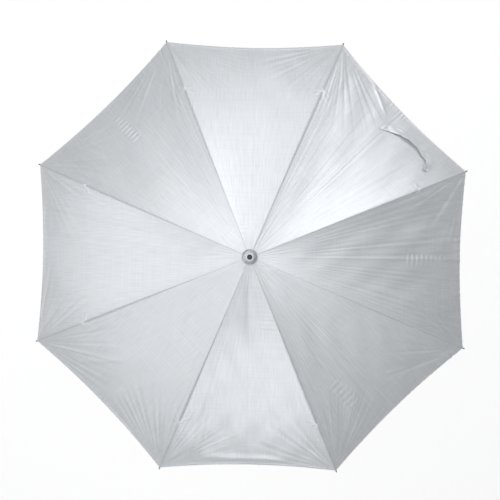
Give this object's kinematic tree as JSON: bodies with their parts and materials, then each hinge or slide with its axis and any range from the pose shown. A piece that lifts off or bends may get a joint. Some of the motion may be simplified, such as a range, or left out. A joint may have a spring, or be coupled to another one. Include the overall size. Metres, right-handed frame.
{
  "type": "umbrella reflector",
  "caption": "Folding photographic umbrella reflector: silver-white satin canopy on hinged ribs and stretchers, with a sliding runner on a plain tube shaft.",
  "frame": {"origin": "on the shaft's axis at the shaft's lower end", "axes": "+Z along the shaft towards the ferrule; +X midway between two ribs, on the top catch's side"},
  "size_m": [0.9106, 0.9106, 0.748],
  "materials": {
    "shaft_metal": "satin anodised",
    "plug_rubber": "moulded",
    "bright_steel": "bright drawn wire",
    "spring_steel": "hardened strip",
    "dark_nickel": "black nickel plated",
    "white_nylon": "moulded",
    "rib_fibreglass": "pultruded rod",
    "stretcher_steel": "nickel plated",
    "canopy_satin": "silver-white polyester satin",
    "strap_satin": "doubled satin, box stitched",
    "rosette_cloth": "stiffened cloth washer"
  },
  "bodies": {
    "root": {"shaft_tube": "shaft_metal", "end_plug": "plug_rubber", "runner_stop_pin": "bright_steel", "runner_stop_ring": "bright_steel", "catch_spring": "spring_steel", "top_notch": "white_nylon", "notch_wire": "bright_steel", "rosette": "rosette_cloth", "ferrule_collar": "white_nylon", "ferrule": "dark_nickel"},
    "runner": {"runner": "white_nylon", "runner_wire": "bright_steel"},
    "catch": {"top_catch": "spring_steel"},
    "rib_1": {"rib_1": "rib_fibreglass", "rib_tip_1": "dark_nickel", "rivet_1": "bright_steel", "canopy_1": "canopy_satin", "tie_strap": "strap_satin", "strap_tab": "strap_satin"},
    "stretcher_1": {"stretcher_1": "stretcher_steel"},
    "rib_2": {"rib_2": "rib_fibreglass", "rib_tip_2": "dark_nickel", "rivet_2": "bright_steel", "canopy_2": "canopy_satin"},
    "stretcher_2": {"stretcher_2": "stretcher_steel"},
    "rib_3": {"rib_3": "rib_fibreglass", "rib_tip_3": "dark_nickel", "rivet_3": "bright_steel", "canopy_3": "canopy_satin"},
    "stretcher_3": {"stretcher_3": "stretcher_steel"},
    "rib_4": {"rib_4": "rib_fibreglass", "rib_tip_4": "dark_nickel", "rivet_4": "bright_steel", "canopy_4": "canopy_satin"},
    "stretcher_4": {"stretcher_4": "stretcher_steel"},
    "rib_5": {"rib_5": "rib_fibreglass", "rib_tip_5": "dark_nickel", "rivet_5": "bright_steel", "canopy_5": "canopy_satin"},
    "stretcher_5": {"stretcher_5": "stretcher_steel"},
    "rib_6": {"rib_6": "rib_fibreglass", "rib_tip_6": "dark_nickel", "rivet_6": "bright_steel", "canopy_6": "canopy_satin"},
    "stretcher_6": {"stretcher_6": "stretcher_steel"},
    "rib_7": {"rib_7": "rib_fibreglass", "rib_tip_7": "dark_nickel", "rivet_7": "bright_steel", "canopy_7": "canopy_satin"},
    "stretcher_7": {"stretcher_7": "stretcher_steel"},
    "rib_8": {"rib_8": "rib_fibreglass", "rib_tip_8": "dark_nickel", "rivet_8": "bright_steel", "canopy_8": "canopy_satin"},
    "stretcher_8": {"stretcher_8": "stretcher_steel"}
  },
  "joints": [
    {"name": "runner_slide", "type": "slide", "parent": "root", "child": "runner", "axis": [0, 0, -1], "range_m": [0, 0.32897], "deforming": ["top_catch"]},
    {"name": "catch_press", "type": "slide", "parent": "root", "child": "catch", "axis": [-1, 0, 0], "range_m": [0, 0.0028], "stiffness_N_per_m": 600, "deforming": ["catch_spring"]},
    {"name": "rib_1_fold", "type": "hinge", "parent": "root", "child": "rib_1", "pos_m": [0.00924, 0.00383, 0.72], "axis": [-0.3827, 0.9239, 0], "range_deg": [0, 63.05], "deforming": ["canopy_1", "tie_strap", "strap_tab"]},
    {"name": "stretcher_1_fold", "type": "hinge", "parent": "rib_1", "child": "stretcher_1", "pos_m": [0.22699, 0.09402, 0.63664], "axis": [-0.3827, 0.9239, 0], "range_deg": [-126.1, 0]},
    {"name": "rib_2_fold", "type": "hinge", "parent": "root", "child": "rib_2", "pos_m": [0.00383, 0.00924, 0.72], "axis": [-0.9239, 0.3827, 0], "range_deg": [0, 63.05], "deforming": ["canopy_2"]},
    {"name": "stretcher_2_fold", "type": "hinge", "parent": "rib_2", "child": "stretcher_2", "pos_m": [0.09402, 0.22699, 0.63664], "axis": [-0.9239, 0.3827, 0], "range_deg": [-126.1, 0]},
    {"name": "rib_3_fold", "type": "hinge", "parent": "root", "child": "rib_3", "pos_m": [-0.00383, 0.00924, 0.72], "axis": [-0.9239, -0.3827, 0], "range_deg": [0, 63.05], "deforming": ["canopy_3"]},
    {"name": "stretcher_3_fold", "type": "hinge", "parent": "rib_3", "child": "stretcher_3", "pos_m": [-0.09402, 0.22699, 0.63664], "axis": [-0.9239, -0.3827, 0], "range_deg": [-126.1, 0]},
    {"name": "rib_4_fold", "type": "hinge", "parent": "root", "child": "rib_4", "pos_m": [-0.00924, 0.00383, 0.72], "axis": [-0.3827, -0.9239, 0], "range_deg": [0, 63.05], "deforming": ["canopy_4"]},
    {"name": "stretcher_4_fold", "type": "hinge", "parent": "rib_4", "child": "stretcher_4", "pos_m": [-0.22699, 0.09402, 0.63664], "axis": [-0.3827, -0.9239, 0], "range_deg": [-126.1, 0]},
    {"name": "rib_5_fold", "type": "hinge", "parent": "root", "child": "rib_5", "pos_m": [-0.00924, -0.00383, 0.72], "axis": [0.3827, -0.9239, 0], "range_deg": [0, 63.05], "deforming": ["canopy_5"]},
    {"name": "stretcher_5_fold", "type": "hinge", "parent": "rib_5", "child": "stretcher_5", "pos_m": [-0.22699, -0.09402, 0.63664], "axis": [0.3827, -0.9239, 0], "range_deg": [-126.1, 0]},
    {"name": "rib_6_fold", "type": "hinge", "parent": "root", "child": "rib_6", "pos_m": [-0.00383, -0.00924, 0.72], "axis": [0.9239, -0.3827, 0], "range_deg": [0, 63.05], "deforming": ["canopy_6"]},
    {"name": "stretcher_6_fold", "type": "hinge", "parent": "rib_6", "child": "stretcher_6", "pos_m": [-0.09402, -0.22699, 0.63664], "axis": [0.9239, -0.3827, 0], "range_deg": [-126.1, 0]},
    {"name": "rib_7_fold", "type": "hinge", "parent": "root", "child": "rib_7", "pos_m": [0.00383, -0.00924, 0.72], "axis": [0.9239, 0.3827, 0], "range_deg": [0, 63.05], "deforming": ["canopy_7"]},
    {"name": "stretcher_7_fold", "type": "hinge", "parent": "rib_7", "child": "stretcher_7", "pos_m": [0.09402, -0.22699, 0.63664], "axis": [0.9239, 0.3827, 0], "range_deg": [-126.1, 0]},
    {"name": "rib_8_fold", "type": "hinge", "parent": "root", "child": "rib_8", "pos_m": [0.00924, -0.00383, 0.72], "axis": [0.3827, 0.9239, 0], "range_deg": [0, 63.05], "deforming": ["canopy_8"]},
    {"name": "stretcher_8_fold", "type": "hinge", "parent": "rib_8", "child": "stretcher_8", "pos_m": [0.22699, -0.09402, 0.63664], "axis": [0.3827, 0.9239, 0], "range_deg": [-126.1, 0]}
  ],
  "couplings": [
    {"joint": "rib_1_fold", "follows": "runner_slide", "rad_per_m": 3.3424},
    {"joint": "stretcher_1_fold", "follows": "runner_slide", "rad_per_m": -6.6848},
    {"joint": "rib_2_fold", "follows": "runner_slide", "rad_per_m": 3.3424},
    {"joint": "stretcher_2_fold", "follows": "runner_slide", "rad_per_m": -6.6848},
    {"joint": "rib_3_fold", "follows": "runner_slide", "rad_per_m": 3.3424},
    {"joint": "stretcher_3_fold", "follows": "runner_slide", "rad_per_m": -6.6848},
    {"joint": "rib_4_fold", "follows": "runner_slide", "rad_per_m": 3.3424},
    {"joint": "stretcher_4_fold", "follows": "runner_slide", "rad_per_m": -6.6848},
    {"joint": "rib_5_fold", "follows": "runner_slide", "rad_per_m": 3.3424},
    {"joint": "stretcher_5_fold", "follows": "runner_slide", "rad_per_m": -6.6848},
    {"joint": "rib_6_fold", "follows": "runner_slide", "rad_per_m": 3.3424},
    {"joint": "stretcher_6_fold", "follows": "runner_slide", "rad_per_m": -6.6848},
    {"joint": "rib_7_fold", "follows": "runner_slide", "rad_per_m": 3.3424},
    {"joint": "stretcher_7_fold", "follows": "runner_slide", "rad_per_m": -6.6848},
    {"joint": "rib_8_fold", "follows": "runner_slide", "rad_per_m": 3.3424},
    {"joint": "stretcher_8_fold", "follows": "runner_slide", "rad_per_m": -6.6848}
  ]
}
